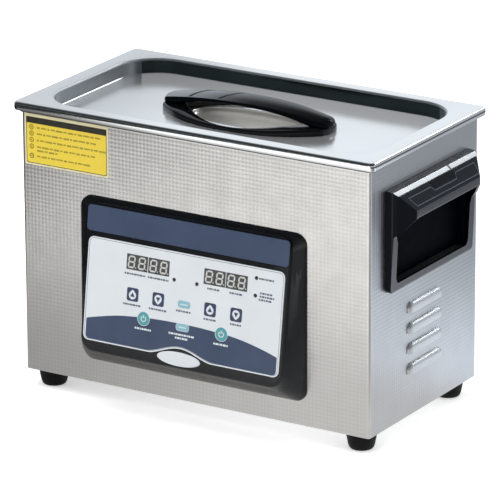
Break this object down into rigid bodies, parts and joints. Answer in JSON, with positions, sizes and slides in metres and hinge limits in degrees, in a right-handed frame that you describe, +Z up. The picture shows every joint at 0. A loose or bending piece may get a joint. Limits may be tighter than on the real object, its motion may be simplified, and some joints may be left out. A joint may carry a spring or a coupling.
{
  "type": "ultrasonic cleaner",
  "caption": "Bench-top ultrasonic cleaner: embossed steel housing, tilted keypad panel with digital displays, side grips, lift-off tray lid with arched handle, basket and rear drain valve.",
  "frame": {"origin": "on the bench under the feet, at the centre of the overall box in plan (16.4 mm in front of the middle of the housing, because the drain valve stands further out at the back than the panel does at the front)", "axes": "+X to the right seen from the front, +Y from the control panel towards the back, +Z up"},
  "size_m": [0.3538, 0.2443, 0.2415],
  "materials": {
    "steel_embossed": "embossed stainless sheet, satin",
    "steel_satin": "satin stainless sheet",
    "steel_polished": "bright polished stainless wire",
    "zinc_steel": "zinc-plated steel",
    "aluminium": "machined",
    "aluminium_black": "black anodised",
    "brass": "machined brass",
    "black_rubber": "matt moulded rubber",
    "black_gloss": "high gloss moulded",
    "black_satin": "satin gloss moulded",
    "black_matte": "fine texture moulded",
    "white_film": "printed polyester film",
    "navy_key": "printed polyester film",
    "teal_key": "printed polyester film",
    "cyan_key": "printed polyester film",
    "display_grey": "tinted epoxy face",
    "led_dark": "tinted epoxy lens",
    "pcb_green": "solder mask",
    "component_black": "moulded epoxy",
    "ferrite": "sintered ferrite",
    "copper_winding": "enamelled copper wire",
    "piezo_ceramic": "fired ceramic with silver faces",
    "dark_steel": "turned steel",
    "capacitor_sleeve": "shrink sleeve",
    "heater_orange": "silicone rubber",
    "red_wire": "insulated wire",
    "nylon": "natural nylon",
    "lever_red": "vinyl sleeve",
    "label_yellow": "vinyl film",
    "fuse_glass": "clear glass with metal caps"
  },
  "bodies": {
    "cleaner": {"housing_shell": "steel_embossed", "bottom_plate": "steel_satin", "bottom_screws": "zinc_steel", "feet": "black_rubber", "foot_screws": "zinc_steel", "tank": "steel_satin", "side_handle_right": "black_gloss", "side_handle_left": "black_gloss", "trim_screws": "zinc_steel", "panel_bezel": "black_satin", "panel_overlay": "white_film", "control_board": "pcb_green", "display_modules": "display_grey", "indicator_leds": "led_dark", "tact_switches": "component_black", "info_sticker": "label_yellow", "transducer_front_masses": "aluminium", "piezo_rings": "piezo_ceramic", "transducer_back_masses": "dark_steel", "transducer_bolts": "zinc_steel", "heater_pads": "heater_orange", "temperature_sensor": "brass", "generator_board": "pcb_green", "board_standoffs": "nylon", "heatsink": "aluminium_black", "power_transistors": "component_black", "transformer_core": "ferrite", "transformer_winding": "copper_winding", "capacitors": "capacitor_sleeve", "wiring_harness": "red_wire", "fan_frame": "black_matte", "fan_guard": "zinc_steel", "rear_screws": "zinc_steel", "power_inlet": "black_matte", "rocker_switch_body": "black_matte", "drain_fitting": "steel_satin", "drain_gasket": "black_rubber", "drain_nut": "brass", "drain_valve_body": "brass"},
    "lid": {"lid": "steel_satin", "lid_handle_base": "black_gloss", "lid_handle_grip": "black_gloss", "lid_handle_screws": "zinc_steel"},
    "basket": {"basket_frame": "steel_polished", "basket_mesh": "steel_polished"},
    "drain_handle": {"drain_ball": "steel_polished", "drain_stem": "steel_satin", "drain_lever": "lever_red"},
    "fan_rotor": {"fan_rotor": "black_matte"},
    "fuse_carrier": {"fuse_drawer": "black_matte", "fuse_link": "fuse_glass"},
    "power_rocker": {"rocker": "black_gloss"},
    "key_temp_up": {"key_temp_up": "navy_key"},
    "key_temp_down": {"key_temp_down": "navy_key"},
    "key_degas": {"key_degas": "cyan_key"},
    "key_time_up": {"key_time_up": "navy_key"},
    "key_time_down": {"key_time_down": "navy_key"},
    "key_heat": {"key_heat": "teal_key"},
    "key_half_power": {"key_half_power": "cyan_key"},
    "key_ultrasonic": {"key_ultrasonic": "teal_key"}
  },
  "joints": [
    {"name": "lid_lift", "type": "slide", "parent": "cleaner", "child": "lid", "axis": [0, 0, 1], "range_m": [0, 0.25]},
    {"name": "basket_lift", "type": "slide", "parent": "cleaner", "child": "basket", "axis": [0, 0, 1], "range_m": [0, 0.125]},
    {"name": "drain_turn", "type": "hinge", "parent": "cleaner", "child": "drain_handle", "pos_m": [-0.112, 0.09063, 0.052], "axis": [0, 0, 1], "range_deg": [0, 90]},
    {"name": "fan_spin", "type": "hinge", "parent": "cleaner", "child": "fan_rotor", "pos_m": [0, 0.06033, 0.062], "axis": [0, 1, 0], "continuous": true},
    {"name": "fuse_drawer_slide", "type": "slide", "parent": "cleaner", "child": "fuse_carrier", "axis": [0, 1, 0], "range_m": [0, 0.014]},
    {"name": "power_rock", "type": "hinge", "parent": "cleaner", "child": "power_rocker", "pos_m": [0.105, 0.06563, 0.092], "axis": [1, 0, 0], "range_deg": [-16, 0]},
    {"name": "press_temp_up", "type": "slide", "parent": "cleaner", "child": "key_temp_up", "axis": [0, 0.9903, -0.1392], "range_m": [0, 0.0003], "stiffness_N_per_m": 400},
    {"name": "press_temp_down", "type": "slide", "parent": "cleaner", "child": "key_temp_down", "axis": [0, 0.9903, -0.1392], "range_m": [0, 0.0003], "stiffness_N_per_m": 400},
    {"name": "press_degas", "type": "slide", "parent": "cleaner", "child": "key_degas", "axis": [0, 0.9903, -0.1392], "range_m": [0, 0.0003], "stiffness_N_per_m": 400},
    {"name": "press_time_up", "type": "slide", "parent": "cleaner", "child": "key_time_up", "axis": [0, 0.9903, -0.1392], "range_m": [0, 0.0003], "stiffness_N_per_m": 400},
    {"name": "press_time_down", "type": "slide", "parent": "cleaner", "child": "key_time_down", "axis": [0, 0.9903, -0.1392], "range_m": [0, 0.0003], "stiffness_N_per_m": 400},
    {"name": "press_heat", "type": "slide", "parent": "cleaner", "child": "key_heat", "axis": [0, 0.9903, -0.1392], "range_m": [0, 0.0003], "stiffness_N_per_m": 400},
    {"name": "press_half_power", "type": "slide", "parent": "cleaner", "child": "key_half_power", "axis": [0, 0.9903, -0.1392], "range_m": [0, 0.0003], "stiffness_N_per_m": 400},
    {"name": "press_ultrasonic", "type": "slide", "parent": "cleaner", "child": "key_ultrasonic", "axis": [0, 0.9903, -0.1392], "range_m": [0, 0.0003], "stiffness_N_per_m": 400}
  ],
  "couplings": [
    {"joint": "basket_lift", "follows": "lid_lift", "ratio": 0.5}
  ]
}
